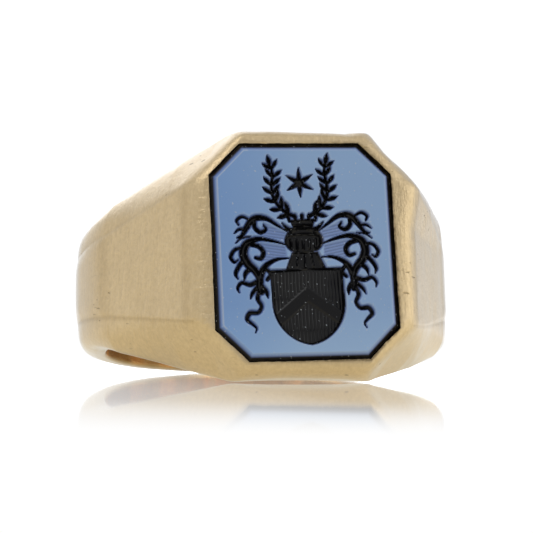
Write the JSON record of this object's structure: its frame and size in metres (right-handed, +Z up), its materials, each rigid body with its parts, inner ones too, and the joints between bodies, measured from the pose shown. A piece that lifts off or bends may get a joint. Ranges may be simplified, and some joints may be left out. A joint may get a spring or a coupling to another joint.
{
  "type": "signet ring",
  "caption": "Gold signet ring with a cut-corner bezel, straight bevelled shoulders and an engraved two-layer stone, lying on its side.",
  "frame": {"origin": "middle of the finger bore, on its axis", "axes": "+Z up with the ring lying on its side as it rests, -Y from the bore towards the bezel, +X to the right when the bezel is looked at; the bore's axis leans from +Z towards +Y by the ring's resting angle"},
  "size_m": [0.0234, 0.0265, 0.0143],
  "materials": {
    "gold": "yellow gold, worn satin polish with fine scratches",
    "onyx_black": "polished black",
    "onyx_blue": "polished pale blue upper layer, thin enough for the black to show through",
    "cement": "matt setting cement"
  },
  "bodies": {
    "root": {"ring_body": "gold", "stone_dark_layer": "onyx_black", "stone_blue_layer": "onyx_blue", "setting_cement": "cement"}
  },
  "joints": []
}
